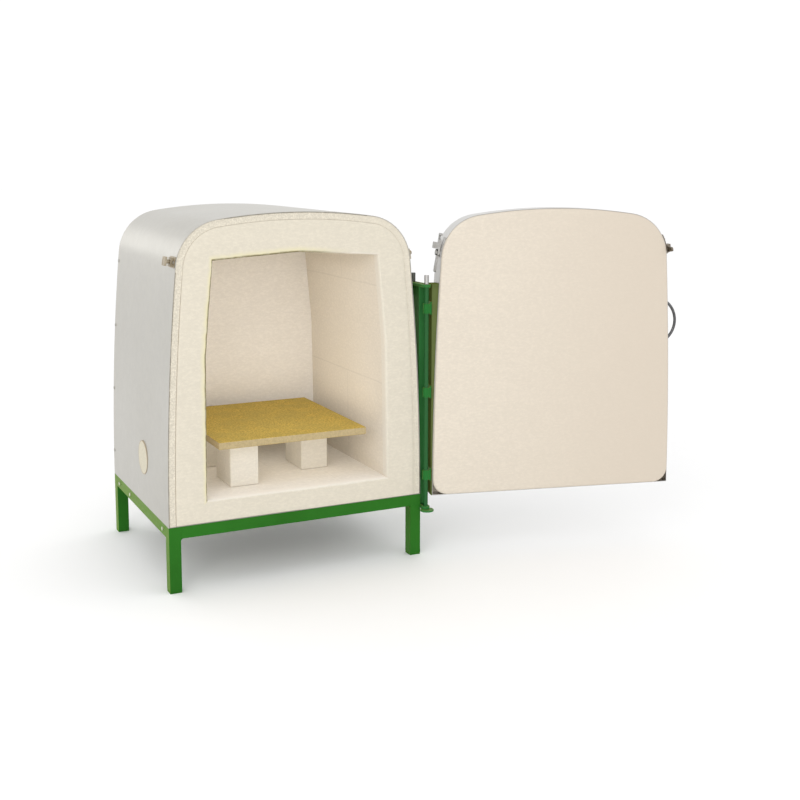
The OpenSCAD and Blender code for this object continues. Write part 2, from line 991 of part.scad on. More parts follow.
module latch_stud(free_side) {
  color(steel)
    latch(free_side)
      on_corner(door, latch_angle)
        translate([0, pivot_y, 0]) {
          along_x(nut_r, 2 * seat + plate_t, hook_lift - seat);
          along_x(stud_r, 2 * seat + plate_t, hook_lift + hook_t + nut_h + 2 * seat);
        }
}

module latch_nut(free_side) {
  color(steel)
    latch(free_side)
      on_corner(door, latch_angle)
        translate([hook_lift + hook_t + seat, pivot_y, 0])
          difference() {
            along_x(nut_r, 0, nut_h, 6);
            along_x(stud_r + rod_fit, -over, nut_h + over);
          }
}

// Slot of the hook, curved about the pivot so that the post runs along it
module hook_slot() {
  translate([0, 0, hook_l]) along_x(slot_r, -over, hook_t + over);
  intersection() {
    difference() {
      along_x(hook_l + slot_r, -over, hook_t + over);
      along_x(hook_l - slot_r, -2 * over, hook_t + 2 * over);
    }
    translate([-over, 0, 0]) cube([hook_t + 2 * over, hook_w, 2 * hook_l]);
  }
}

// Hook lever: head with a slot on one side and a raised block on it, and a handle beyond the pivot.
// It is turned off its keeper, on the hinge side to point up and on the free side to point back
module latch_hook(free_side) {
  turned = free_side ? 90 : 0;
  grip = free_side ? free_grip_l : grip_l;
  head_end = hook_l + slot_r + hook_w / 4;
  claw_z = nut_r + over;
  color(steel)
    latch(free_side)
      on_corner(door, latch_angle)
        translate([hook_lift, pivot_y, 0])
          rotate([turned, 0, 0])
            difference() {
              union() {
                along_x(hook_w / 2, 0, hook_t);
                translate([0, -hook_w / 2, 0]) cube([hook_t, hook_w - over, head_end]);
                translate([0, -hook_w / 2, claw_z]) cube([hook_t + claw_h, hook_w - over, claw_l]);
                translate([0, -grip_w / 2, grip_w / 2 - grip]) cube([hook_t, grip_w, grip - grip_w / 2]);
                translate([0, 0, grip_w / 2 - grip]) along_x(grip_w / 2, 0, hook_t);
              }
              along_x(stud_r + rod_fit, -over, hook_t + over);
              hook_slot();
            }
}

leg(false, false);  // leg_front_left
leg(true, false);  // leg_front_right
leg(false, true);  // leg_back_left
leg(true, true);  // leg_back_right
leg_feet();
cross_rail(0);  // rail_front
cross_rail(body_d - tube_w);  // rail_back
rail_left();
rail_right();
rail_screws();
base_plate();
casing_sheet();
back_panel();
back_rivets();
flue_collar();
flue_screws();
fibre_wrap();
front_board();
floor_slab();
wall_left();
wall_right();
roof_left();
roof_right();
back_slab();
keeper_left();
keeper_right();
keeper_rivets();
prop(prop_left_x, prop_front_y);  // prop_front_left
prop(prop_right_x, prop_right_y);  // prop_right
prop(prop_left_x, prop_back_y);  // prop_back_left
shelf();
burner_bung();
hinge_rail_lug();
hinge_bracket();
bracket_rivets();
hinge_rod_rear();
link_web();
link_plate(link_top - link_plate_t);  // link_top_plate
link_plate(link_base);  // link_bottom_plate
link_foot();
hinge_rod_front();
door_leaf();
door_lug(lug_zs[2]);  // door_lug_top
door_lug(lug_zs[1]);  // door_lug_middle
door_lug(lug_zs[0]);  // door_lug_bottom
lug_bolts();
door_pan();
door_backing();
door_pad();
door_handle();
handle_feet();
latch_base(false);  // latch_base_hinge_side
latch_stud(false);  // latch_stud_hinge_side
latch_nut(false);  // latch_nut_hinge_side
latch_hook(false);  // latch_hook_hinge_side
latch_base(true);  // latch_base_free_side
latch_stud(true);  // latch_stud_free_side
latch_nut(true);  // latch_nut_free_side
latch_hook(true);  // latch_hook_free_side
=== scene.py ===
import json
import math
from collections import namedtuple
import bmesh
import bpy
from mathutils import Matrix, Vector, noise


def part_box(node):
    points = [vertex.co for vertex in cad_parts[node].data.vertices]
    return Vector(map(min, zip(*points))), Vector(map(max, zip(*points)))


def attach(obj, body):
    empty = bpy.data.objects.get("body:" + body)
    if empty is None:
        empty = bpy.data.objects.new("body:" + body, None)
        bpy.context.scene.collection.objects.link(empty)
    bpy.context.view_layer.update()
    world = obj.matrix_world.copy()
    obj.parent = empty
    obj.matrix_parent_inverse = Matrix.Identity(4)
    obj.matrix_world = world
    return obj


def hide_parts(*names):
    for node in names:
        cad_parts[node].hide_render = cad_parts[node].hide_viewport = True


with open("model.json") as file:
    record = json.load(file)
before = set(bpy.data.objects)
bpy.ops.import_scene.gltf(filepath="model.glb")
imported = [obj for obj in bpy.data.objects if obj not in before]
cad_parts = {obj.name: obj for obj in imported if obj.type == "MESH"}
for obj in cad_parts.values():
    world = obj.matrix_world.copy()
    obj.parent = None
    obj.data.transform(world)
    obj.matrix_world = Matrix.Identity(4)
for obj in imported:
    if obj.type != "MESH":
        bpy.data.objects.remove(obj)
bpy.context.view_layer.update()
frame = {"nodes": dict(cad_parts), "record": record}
nodes = frame["nodes"]
joints = {joint["name"]: joint for joint in frame["record"]["behaviour"]["joints"]}
scene = bpy.context.scene

# Outlines of the casing and the door, in metres: the radii are of the sides, upper corners and crown
Outline = namedtuple("Outline", "width height side corner crown")
BODY = Outline(width=0.690, height=0.765, side=6.5, corner=0.125, crown=1.45)
DOOR = Outline(width=0.679, height=0.765, side=10.0, corner=0.120, crown=1.45)

# Places and sizes taken from the frame
board_low, board_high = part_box("front_board")
wrap_low, wrap_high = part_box("fibre_wrap")
FRONT = board_low.y
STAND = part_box("base_plate")[0].z
LINK_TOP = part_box("link_top_plate")[1].z
WRAP_OUT = BODY.width / 2 - wrap_high.x
BOARD_IN = BODY.width / 2 - board_high.x
ROD = Vector(joints["door_swing"]["pos_m"][:2])
OPEN = math.radians(-joints["door_swing"]["range_deg"][0])

# Opening of the board: half width and height above the stand at each corner, and a point in its middle
MOUTH_FOOT = Vector((0.246, 0.058))
MOUTH_BEND = Vector((0.241, 0.421))
MOUTH_SHOULDER = Vector((0.220, 0.650))
MOUTH_TOP = Vector((0.0, 0.664))
MOUTH_MIDDLE = Vector((0.0, 0.36))

# Door pad: its face, thickness, inset from the door's outline, foot and lower corners
PAD_FACE = -0.0005
PAD_T = 0.032
PAD_IN = 0.0017
PAD_FOOT = -0.0025
PAD_CORNER = 0.040

# Gap between neighbouring pieces of fibre, and the size of a weld between leg and rail
SEAM = 0.0002
WELD = 0.008


# Geometry of the outlines
def arcs(o):
    """Centres of the side, corner and crown arcs of an outline, and the angles where they meet."""
    side = Vector((o.width / 2 - o.side, 0))
    crown = Vector((0, o.height - o.crown))
    to_side, to_crown = o.side - o.corner, o.crown - o.corner
    apart = (crown - side).length
    along = (crown - side) / apart
    reach = (to_side ** 2 - to_crown ** 2 + apart ** 2) / (2 * apart)
    off = math.sqrt(to_side ** 2 - reach ** 2)
    corner = side + reach * along + off * Vector((-along.y, along.x))
    low = math.atan2(corner.y - side.y, corner.x - side.x)
    high = math.atan2(corner.y - crown.y, corner.x - crown.x)
    return side, corner, crown, low, high


def half_outline(o, inset, foot, step):
    """Points (x, z) of the right half of an outline drawn in by inset, from foot to the crown."""
    side, corner, crown, low, high = arcs(o)
    runs = (
        (side, o.side, math.asin(foot / (o.side - inset)), low),
        (corner, o.corner, low, high),
        (crown, o.crown, high, math.pi / 2),
    )
    points = []
    for centre, radius, start, end in runs:
        count = math.ceil(radius * (end - start) / step)
        first = 1 if points else 0
        for i in range(first, count + 1):
            angle = start + (end - start) * i / count
            points.append(centre + (radius - inset) * Vector((math.cos(angle), math.sin(angle))))
    return points


def quarter(turns):
    """Angles from 0 to a quarter turn, in equal steps."""
    return [math.pi / 2 * k / turns for k in range(turns + 1)]


def mirrored(half):
    """A right half that ends on the middle line, with its left half added."""
    return half + [Vector((-p.x, p.y)) for p in reversed(half[:-1])]


def closed_at_foot(points, step):
    """An open outline closed by points along its foot."""
    first, last = points[0], points[-1]
    count = math.ceil((last - first).length / step)
    return points + [last.lerp(first, i / count) for i in range(1, count)]


def kiln_point(x, y, z):
    """A point given from the front plane and the top of the stand."""
    return Vector((x, y + FRONT, z + STAND))


def door_point(x, y, z):
    """A point of the closed door, given in the same way, carried to where the open door is."""
    from_rod = Vector((x, y + FRONT)) - ROD
    across, along = math.cos(OPEN), math.sin(OPEN)
    turned = Vector((from_rod.x * across - from_rod.y * along, from_rod.x * along + from_rod.y * across))
    return Vector((ROD.x + turned.x, ROD.y + turned.y, z + STAND))


def loft(rows, closed):
    """Corners and faces of the skin over rows of points; closed joins the ends of each row."""
    count = len(rows[0])
    corners = [point for row in rows for point in row]
    faces = []
    for r in range(len(rows) - 1):
        for i in range(count if closed else count - 1):
            j = (i + 1) % count
            faces.append((r * count + i, r * count + j, (r + 1) * count + j, (r + 1) * count + i))
    return corners, faces


def fractal(point, scale, octaves=4):
    """Noise from about -1 to 1."""
    increment = 0.6
    lacunarity = 2.0
    return noise.fractal(Vector(point) * scale, increment, lacunarity, octaves, noise_basis="PERLIN_ORIGINAL")


# Corners of a made piece nearer than this are joined, and edges bent by more than this are sharp
SAME_PLACE = 1e-6
SHARP = math.radians(55)


def new_piece(name, corners, faces, material, body, colours=None):
    """A mesh piece, smooth except at sharp edges, that rides a body.

    colours, where given, holds one (r, g, b) for each corner.
    """
    mesh = bpy.data.meshes.new(name)
    mesh.from_pydata([tuple(c) for c in corners], [], faces)
    mesh.materials.append(material)
    if colours:
        layer = mesh.attributes.new("surface_tint", "FLOAT_COLOR", "POINT")
        for value, colour in zip(layer.data, colours):
            value.color = (*colour, 1.0)
    work = bmesh.new()
    work.from_mesh(mesh)
    bmesh.ops.remove_doubles(work, verts=work.verts, dist=SAME_PLACE)
    bmesh.ops.recalc_face_normals(work, faces=work.faces)
    for edge in work.edges:
        edge.smooth = edge.calc_face_angle(0.0) < SHARP
    work.to_mesh(mesh)
    work.free()
    for polygon in mesh.polygons:
        polygon.use_smooth = True
    piece = bpy.data.objects.new(name, mesh)
    scene.collection.objects.link(piece)
    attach(piece, body)
    return piece


# Materials
class Net:
    """A material's node tree with one Principled shader."""

    # Sockets of a Mix node that carry colours
    MIX_A, MIX_B, MIX_RESULT = 6, 7, 2

    def __init__(self, name):
        self.material = bpy.data.materials.new(name)
        self.material.use_nodes = True
        self.tree = self.material.node_tree
        self.tree.nodes.clear()
        output = self.add("OutputMaterial")
        self.shader = self.add("BsdfPrincipled")
        self.tree.links.new(self.shader.outputs[0], output.inputs[0])
        self.place = self.add("TexCoord")
        split = self.add("SeparateXYZ")
        self.tree.links.new(self.place.outputs["Object"], split.inputs[0])
        self.axis = dict(zip("xyz", split.outputs))

    def add(self, kind, **settings):
        node = self.tree.nodes.new("ShaderNode" + kind)
        for key, value in settings.items():
            setattr(node, key, value)
        return node

    def plug(self, socket, value):
        """Links a socket, or sets a number or colour on it."""
        if isinstance(value, bpy.types.NodeSocket):
            self.tree.links.new(value, socket)
        elif isinstance(value, tuple) and len(value) == 3 and socket.type == "RGBA":
            socket.default_value = (*value, 1.0)
        else:
            socket.default_value = value

    def stretched(self, scale):
        node = self.add("Mapping")
        self.plug(node.inputs["Vector"], self.place.outputs["Object"])
        self.plug(node.inputs["Scale"], scale)
        return node.outputs[0]

    def noise(self, scale, detail=4.0, roughness=0.55, vector=None):
        node = self.add("TexNoise")
        self.plug(node.inputs["Vector"], vector or self.place.outputs["Object"])
        self.plug(node.inputs["Scale"], scale)
        self.plug(node.inputs["Detail"], detail)
        self.plug(node.inputs["Roughness"], roughness)
        return node.outputs["Fac"]

    def cells(self, scale):
        node = self.add("TexVoronoi")
        self.plug(node.inputs["Vector"], self.place.outputs["Object"])
        self.plug(node.inputs["Scale"], scale)
        return node.outputs["Distance"]

    def math(self, operation, a, b=0.0):
        node = self.add("Math", operation=operation)
        self.plug(node.inputs[0], a)
        self.plug(node.inputs[1], b)
        return node.outputs[0]

    def ease(self, value, start, end, low=0.0, high=1.0):
        """low below start, high above end, and a smooth step between them."""
        node = self.add("MapRange", clamp=True, interpolation_type="SMOOTHSTEP")
        for socket, setting in zip(node.inputs, (value, start, end, low, high)):
            self.plug(socket, setting)
        return node.outputs[0]

    def mix(self, factor, a, b):
        """Colour a where the factor is 0, and b where it is 1."""
        node = self.add("Mix", data_type="RGBA")
        self.plug(node.inputs[0], factor)
        self.plug(node.inputs[self.MIX_A], a)
        self.plug(node.inputs[self.MIX_B], b)
        return node.outputs[self.MIX_RESULT]

    def line(self, value, at, width):
        """1 on the line value = at, falling to 0 at width from it."""
        core = 0.3 * width
        distance = self.math("ABSOLUTE", self.math("SUBTRACT", value, at))
        return self.ease(distance, core, width, 1.0, 0.0)

    def set(self, **settings):
        for key, value in settings.items():
            self.plug(self.shader.inputs[key.replace("_", " ")], value)

    def bump(self, *layers):
        """Each layer is (height, strength, distance); they add up."""
        below = None
        for height, strength, distance in layers:
            node = self.add("Bump")
            self.plug(node.inputs["Strength"], strength)
            self.plug(node.inputs["Distance"], distance)
            self.plug(node.inputs["Height"], height)
            if below:
                self.plug(node.inputs["Normal"], below)
            below = node.outputs[0]
        self.set(Normal=below)


def shade(colour, factor):
    """The colour made darker or lighter by a factor."""
    return tuple(factor * part for part in colour)


def paint(name, base, gloss=0.11, sheen=0.36):
    """Brushed enamel with a little dust in its finish and worn specks."""
    net = Net(name)
    broad = net.noise(scale=5.0, detail=3.0)
    fine = net.noise(scale=90.0, detail=5.0, roughness=0.65)
    worn = net.noise(scale=38.0, detail=8.0, roughness=0.75, vector=net.stretched((1, 1, 0.35)))
    colour = net.mix(net.ease(broad, 0.3, 0.7), shade(base, 0.85), shade(base, 1.08))
    colour = net.mix(net.ease(fine, 0.55, 0.8, 0.0, 0.5), colour, shade(base, 1.3))
    colour = net.mix(net.ease(worn, 0.66, 0.76, 0.0, 0.35), colour, shade(base, 0.5))
    net.set(Base_Color=colour, Roughness=net.ease(fine, 0.2, 0.8, 0.36, 0.52))
    net.set(Specular_IOR_Level=gloss, Specular_Tint=(1.0, 0.96, 0.25))
    net.set(Sheen_Weight=sheen, Sheen_Roughness=0.35, Sheen_Tint=(0.92, 1.0, 0.08))
    net.bump((net.noise(scale=420.0, detail=2.0, roughness=0.5), 0.12, 0.0006), (broad, 0.1, 0.002))
    return net.material


def sheet(name, base, roughness, dents, streaks=1.0):
    """Rolled sheet metal: upright streaks of a given strength, shallow dents, dull spots and pale clouds."""
    net = Net(name)
    streak = net.noise(scale=60.0, detail=6.0, roughness=0.7, vector=net.stretched((1, 1, 0.06)))
    broad = net.noise(scale=3.0, detail=3.0, roughness=0.5)
    spots = net.noise(scale=26.0, detail=7.0, roughness=0.72)
    cloud = net.noise(scale=45.0, detail=6.0, roughness=0.75)
    dark = shade(base, 1 - 0.05 * streaks)
    pale = shade(base, 1 + 0.03 * streaks)
    spread = 0.05 * streaks
    colour = net.mix(net.ease(streak, 0.3, 0.7), dark, pale)
    colour = net.mix(net.ease(spots, 0.62, 0.8, 0.0, 0.15), colour, shade(base, 0.75))
    colour = net.mix(net.ease(cloud, 0.35, 0.65, 0.0, 0.6), colour, shade(base, 1.06))
    finish = net.ease(streak, 0.25, 0.75, roughness - spread, roughness + spread)
    finish = net.math("ADD", finish, net.ease(broad, 0.3, 0.7, -0.03, 0.03))
    net.set(Base_Color=colour, Metallic=1.0, Roughness=finish)
    net.bump((broad, dents, 0.004), (streak, 0.015 * streaks, 0.0004))
    return net.material


def steel(name, base, roughness, tarnish):
    """Small steel parts: mill finish with tarnish in patches."""
    net = Net(name)
    fine = net.noise(scale=160.0, detail=6.0, roughness=0.7)
    broad = net.noise(scale=24.0, detail=4.0, roughness=0.6)
    patches = net.noise(scale=55.0, detail=5.0, roughness=0.7)
    colour = net.mix(net.ease(broad, 0.35, 0.7), base, shade(base, 0.75))
    colour = net.mix(net.ease(patches, 0.42, 0.66, 0.0, 0.8), colour, tarnish)
    net.set(Base_Color=colour, Metallic=1.0)
    net.set(Roughness=net.ease(fine, 0.25, 0.75, roughness - 0.08, roughness + 0.1))
    net.bump((fine, 0.12, 0.0004), (broad, 0.1, 0.001))
    return net.material


class Fibre(Net):
    """Pressed ceramic fibre: soft mottling, fine tangled grain and small pits."""

    def __init__(self, name, base, grain=1.0):
        super().__init__(name)
        broad = self.noise(scale=4.0, detail=4.0, roughness=0.55)
        middle = self.noise(scale=45.0, detail=5.0, roughness=0.6)
        fine = self.noise(scale=420.0, detail=5.0, roughness=0.7)
        tangle = self.noise(scale=190.0, detail=4.0, roughness=0.65, vector=self.stretched((0.5, 0.5, 1)))
        laid = self.noise(scale=70.0, detail=5.0, roughness=0.7, vector=self.stretched((0.16, 0.16, 1)))
        pits = self.ease(self.cells(150.0), 0.04, 0.16, 1.0, 0.0)
        self.pits = self.math("MULTIPLY", pits, self.ease(middle, 0.5, 0.62))
        colour = self.mix(self.ease(broad, 0.3, 0.7), shade(base, 0.97), base)
        colour = self.mix(self.ease(middle, 0.45, 0.75, 0.0, 0.6), colour, shade(base, 1.03))
        colour = self.mix(self.ease(laid, 0.35, 0.65, 0.3, 0.0), colour, shade(base, 0.92))
        colour = self.mix(self.ease(fine, 0.35, 0.7, 0.3 * grain, 0.0), colour, shade(base, 0.86))
        colour = self.mix(self.ease(tangle, 0.36, 0.5, 0.36, 0.0), colour, shade(base, 0.88))
        self.colour = self.mix(self.ease(tangle, 0.5, 0.64, 0.0, 0.36), colour, shade(base, 1.1))
        self.height = self.math("ADD", self.math("MULTIPLY", fine, 0.6), self.math("MULTIPLY", middle, 0.5))
        self.grain = grain
        self.set(Roughness=0.92, Specular_IOR_Level=0.15)

    def finish(self, *more):
        """Sets the colour and the bump layers, with more layers on top."""
        self.set(Base_Color=self.colour)
        self.bump((self.height, 0.3 * self.grain, 0.0016), (self.pits, -0.25 * self.grain, 0.0012), *more)
        return self.material


def fibre(name, base, grain=1.0):
    """Plain fibre, without stains or joints."""
    return Fibre(name, base, grain).finish()


def add_flecks(net, base, strength):
    """Dark and pale flecks in a fibre, which fade from the middle of the kiln to its right side."""
    fade_end = 0.3
    dark, pale = 0.62, 1.22
    tufts = net.noise(scale=230.0, detail=3.0, roughness=0.6)
    faded = net.ease(net.axis["x"], 0.0, fade_end, strength, 0.25 * strength)
    for first, last, factor in ((0.58, 0.42, dark), (0.55, 0.68, pale)):
        amount = net.math("MULTIPLY", net.ease(tufts, first, last), faded)
        net.colour = net.mix(amount, net.colour, shade(base, factor))


def stained_and_shaded(name, base, clean, ochre, painted_shade, grain=1.0, flecks=0.0):
    """Fibre tinted as its tint colours give: blue for clean, red for ochre stain, green for painted shade."""
    net = Fibre(name, base, grain)
    if flecks:
        add_flecks(net, base, flecks)
    surface_tint = net.add("Attribute", attribute_name="surface_tint")
    split = net.add("SeparateColor")
    net.plug(split.inputs[0], surface_tint.outputs["Color"])
    patchy = net.ease(net.noise(scale=60.0, detail=4.0, roughness=0.6), 0.25, 0.6, 0.55, 1.0)
    ochre_part, painted_shade_part, clean_part = split.outputs[:3]
    net.colour = net.mix(clean_part, net.colour, clean)
    for part, colour in ((ochre_part, ochre), (painted_shade_part, painted_shade)):
        net.colour = net.mix(net.math("MULTIPLY", part, patchy), net.colour, colour)
    return net.finish()


def pad_material(name, pale, painted_shade_colour):
    """Fibre with painted shade: a little darker towards the door's free edge."""
    most = 0.85
    net = Fibre(name, pale)
    low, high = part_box("door_pad")
    net.colour = net.mix(net.ease(net.axis["x"], low.x, high.x, 0.0, most), net.colour, painted_shade_colour)
    return net.finish()


def bung_material(name, base, rim_shade):
    """Rough fibre with painted shade as a dark line round the rim of its face."""
    line_start, line_end = 0.003, 0.001
    strength = 0.7
    net = Fibre(name, base, grain=1.8)
    low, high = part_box("burner_bung")
    middle = (low + high) / 2
    offsets = [net.math("SUBTRACT", net.axis[axis], getattr(middle, axis)) for axis in "yz"]
    squares = [net.math("MULTIPLY", offset, offset) for offset in offsets]
    reach = net.math("SQRT", net.math("ADD", *squares))
    radius = (high.z - low.z) / 2
    rim = net.ease(reach, radius - line_start, radius - line_end, 0.0, strength)
    net.colour = net.mix(rim, net.colour, rim_shade)
    return net.finish()


Joint = namedtuple("Joint", "axis at other low high")


def slabs(name, base, lines, strength=0.1):
    """Fibre slabs with faint joints: each runs where axis = at, for low < other < high."""
    wander_by = 0.004
    width = 0.003
    depth = 0.001
    net = Fibre(name, base)
    wander = net.math("MULTIPLY", net.math("SUBTRACT", net.noise(scale=9.0, detail=2.0), 0.5), wander_by)
    joint = None
    for run in lines:
        seam = net.line(net.math("ADD", net.axis[run.axis], wander), run.at, width)
        after = net.math("GREATER_THAN", net.axis[run.other], run.low)
        before = net.math("LESS_THAN", net.axis[run.other], run.high)
        seam = net.math("MULTIPLY", seam, net.math("MULTIPLY", after, before))
        joint = seam if joint is None else net.math("MAXIMUM", joint, seam)
    net.colour = net.mix(net.math("MULTIPLY", joint, strength), net.colour, shade(base, 0.5))
    return net.finish((joint, -0.25, depth))


def shelf_material(name, gold, pale):
    """Gritty kiln shelf: golden on its broad faces, paler where its edges are sawn."""
    net = Net(name)
    facing = net.add("SeparateXYZ")
    net.plug(facing.inputs[0], net.place.outputs["Normal"])
    flat = net.ease(net.math("ABSOLUTE", facing.outputs[2]), 0.4, 0.8)
    grit = net.noise(scale=210.0, detail=6.0, roughness=0.75)
    broad = net.noise(scale=16.0, detail=5.0, roughness=0.65)
    olive = (0.66 * gold[0], 0.76 * gold[1], gold[2])
    top = net.mix(net.ease(grit, 0.38, 0.62), shade(gold, 0.66), shade(gold, 1.28))
    top = net.mix(net.ease(net.cells(320.0), 0.02, 0.12, 0.7, 0.0), top, pale)
    top = net.mix(net.ease(broad, 0.3, 0.7, 0.0, 0.5), top, olive)
    edge = net.mix(net.ease(grit, 0.35, 0.65), shade(pale, 0.88), shade(pale, 1.1))
    net.set(Base_Color=net.mix(flat, edge, top), Roughness=0.85, Specular_IOR_Level=0.2)
    net.bump((grit, 0.35, 0.0014), (net.noise(scale=700.0, detail=3.0, roughness=0.6), 0.25, 0.0005))
    return net.material


def rod_material(name, green, bare):
    """Hinge rod: painted up to the top of the link, bare steel above it."""
    ragged_by = 0.006
    blend = 0.001
    net = Net(name)
    fine = net.noise(scale=160.0, detail=6.0, roughness=0.7)
    ragged = net.math("MULTIPLY", net.math("SUBTRACT", fine, 0.5), ragged_by)
    tip = net.ease(net.math("ADD", net.axis["z"], ragged), LINK_TOP - blend, LINK_TOP + blend)
    metal = net.mix(fine, shade(bare, 0.85), shade(bare, 1.1))
    painted = net.mix(fine, shade(green, 0.85), shade(green, 1.15))
    net.set(Base_Color=net.mix(tip, painted, metal), Metallic=tip)
    net.set(Roughness=net.ease(fine, 0.25, 0.75, 0.3, 0.46), Specular_IOR_Level=0.3)
    net.bump((fine, 0.1, 0.0004))
    return net.material


# Colours of the paints and of the fibre
GREEN = (0.018, 0.133, 0.015)
# The link's green is the stand's paint made lighter, as painted light on parts that stand in shade
LINK_GREEN_LIT = (0.030, 0.168, 0.045)
# The leaf's olive is the same green paint as lit from the left, a painted light
LEAF_GREEN_LIT = (0.105, 0.132, 0.045)
LUG_GREEN = (0.015, 0.140, 0.030)
# The front rod's green is the same paint made darker, as painted shade
ROD_GREEN_SHADED = (0.009, 0.094, 0.018)
CREAM = (0.67, 0.622, 0.522)
INSIDE = (0.88, 0.84, 0.785)

green = paint("green_paint", GREEN)
leaf_green_lit = paint("leaf_paint_lit", LEAF_GREEN_LIT, gloss=0.0, sheen=0.1)
link_green_lit = paint("link_paint_lit", LINK_GREEN_LIT)
lug_green = paint("lug_paint", LUG_GREEN)

casing = sheet("casing_sheet_metal", (0.505, 0.491, 0.452), roughness=0.42, dents=0.08)
pan_metal = sheet("door_pan_metal", (0.52, 0.51, 0.49), roughness=0.32, dents=0.04, streaks=0.3)
plate = sheet("base_metal", (0.30, 0.29, 0.27), roughness=0.45, dents=0.05)

collar = steel("flue_metal", (0.46, 0.44, 0.41), roughness=0.42, tarnish=(0.30, 0.23, 0.17))
bright = steel("bright_steel", (0.58, 0.575, 0.56), roughness=0.34, tarnish=(0.45, 0.44, 0.42))
screw_steel = steel("rail_screw_metal", (0.74, 0.76, 0.60), roughness=0.30, tarnish=(0.58, 0.62, 0.44))
latch_steel = steel("latch_steel", (0.48, 0.475, 0.46), roughness=0.34, tarnish=(0.33, 0.31, 0.28))
keeper_steel = steel("keeper_metal", (0.46, 0.40, 0.30), roughness=0.42, tarnish=(0.25, 0.20, 0.13))
brown_steel = steel("free_latch_metal", (0.27, 0.235, 0.19), roughness=0.45, tarnish=(0.20, 0.165, 0.125))
handle_steel = steel("handle_metal", (0.15, 0.15, 0.155), roughness=0.26, tarnish=(0.10, 0.098, 0.095))
rod_paint = rod_material("rod_painted", ROD_GREEN_SHADED, bare=(0.5, 0.49, 0.48))
rear_rod_paint = rod_material("rear_rod_painted", LINK_GREEN_LIT, bare=(0.16, 0.165, 0.15))

board = stained_and_shaded("board_fibre", CREAM, INSIDE, ochre=(0.69, 0.64, 0.43), painted_shade=(0.17, 0.145, 0.07))
wrap_fibre = stained_and_shaded(
    "wrap_fibre",
    shade(CREAM, 1.05),
    INSIDE,
    ochre=(0.46, 0.37, 0.26),
    painted_shade=(0.13, 0.11, 0.08),
    grain=1.6,
    flecks=0.34,
)
# The pad's second colour is painted shade, darker towards the door's free edge
pad_fibre = pad_material("pad_fibre", pale=(0.70, 0.635, 0.54), painted_shade_colour=(0.62, 0.545, 0.455))
bung_fibre = bung_material("bung_fibre", (0.64, 0.595, 0.478), rim_shade=(0.36, 0.28, 0.18))
brick = fibre("prop_brick", (0.765, 0.72, 0.635), grain=1.2)
shelf_ceramic = shelf_material("shelf_ceramic", gold=(0.565, 0.397, 0.084), pale=(0.46, 0.365, 0.20))

# Joints between the slabs of the lining: heights of the courses, and places of the butt joints
COURSE_LOW = 0.475
COURSE_HIGH = 0.735
BUTT_Y = -0.0365
FRONT_BUTT_X = 0.12
BACK_BUTT_X = 0.0
FAR = 2.0
WALL_JOINTS = [
    Joint("z", COURSE_LOW, "y", -FAR, FAR),
    Joint("z", COURSE_HIGH, "y", -FAR, FAR),
    Joint("y", BUTT_Y, "z", 0.0, COURSE_LOW),
    Joint("y", BUTT_Y, "z", COURSE_HIGH, FAR),
]
# The walls' fibre is the lining's made darker and yellower, the darkness a painted shade, and the roof's made
# lighter, a painted light
wall_fibre_shaded = slabs("wall_slabs_shaded", (0.755, 0.695, 0.605), WALL_JOINTS, strength=0.16)
roof_fibre_lit = slabs("roof_slabs_lit", (0.93, 0.875, 0.785), WALL_JOINTS)
back_fibre = slabs("back_slabs", INSIDE, [Joint("z", COURSE_HIGH, "x", -FAR, FAR)], strength=0.04)
floor_fibre = slabs("floor_slabs", INSIDE, [
    Joint("y", BUTT_Y, "x", -FAR, FAR),
    Joint("x", FRONT_BUTT_X, "y", -FAR, BUTT_Y),
    Joint("x", BACK_BUTT_X, "y", BUTT_Y, FAR),
])


# The solids of the frame: material, smoothing and rounded edges
def smoothing(angle):
    """Modifier tree: joins the split corners of a solid and shades it smooth below the angle."""
    join_within = 1e-5
    group = bpy.data.node_groups.new("join_and_smooth", "GeometryNodeTree")
    for way in ("INPUT", "OUTPUT"):
        group.interface.new_socket("Geometry", in_out=way, socket_type="NodeSocketGeometry")
    start = group.nodes.new("NodeGroupInput")
    end = group.nodes.new("NodeGroupOutput")
    merge = group.nodes.new("GeometryNodeMergeByDistance")
    merge.inputs["Distance"].default_value = join_within
    edge = group.nodes.new("GeometryNodeInputMeshEdgeAngle")
    sharp = group.nodes.new("FunctionNodeCompare")
    sharp.operation = "GREATER_THAN"
    sharp.inputs[1].default_value = angle
    normal = group.nodes.new("GeometryNodeSetMeshNormal")
    normal.mode = "SHARPNESS"
    normal.inputs["Remove Custom"].default_value = True
    normal.inputs["Face Sharpness"].default_value = False
    group.links.new(start.outputs[0], merge.inputs["Geometry"])
    group.links.new(merge.outputs[0], normal.inputs["Mesh"])
    group.links.new(edge.outputs["Unsigned Angle"], sharp.inputs[0])
    group.links.new(sharp.outputs[0], normal.inputs["Edge Sharpness"])
    group.links.new(normal.outputs[0], end.inputs[0])
    return group


SMOOTH_BELOW = math.radians(24)
ROUNDED_ABOVE = math.radians(30)
SMOOTH = smoothing(SMOOTH_BELOW)


def dress(names, material, bevel=0.0, segments=2):
    """Gives each named solid its material, smooth shading and, where asked, rounded edges."""
    for name in names.split():
        solid = nodes[name]
        solid.data.materials.clear()
        solid.data.materials.append(material)
        smooth = solid.modifiers.new("smooth", "NODES")
        smooth.node_group = SMOOTH
        if bevel:
            edges = solid.modifiers.new("edges", "BEVEL")
            edges.width = bevel
            edges.segments = segments
            edges.limit_method = "ANGLE"
            edges.angle_limit = ROUNDED_ABOVE
            flat = solid.modifiers.new("normals", "WEIGHTED_NORMAL")
            flat.keep_sharp = True


# Widths of the rounded edges, from pressed sheet to worn brick
SHEET_EDGE = 0.0005
STUD_EDGE = 0.0006
CUT_EDGE = 0.0008
FOOT_EDGE = 0.001
BAR_EDGE = 0.0012
SHELF_EDGE = 0.0022
BRICK_EDGE = 0.003
WORN_SEGMENTS = 3

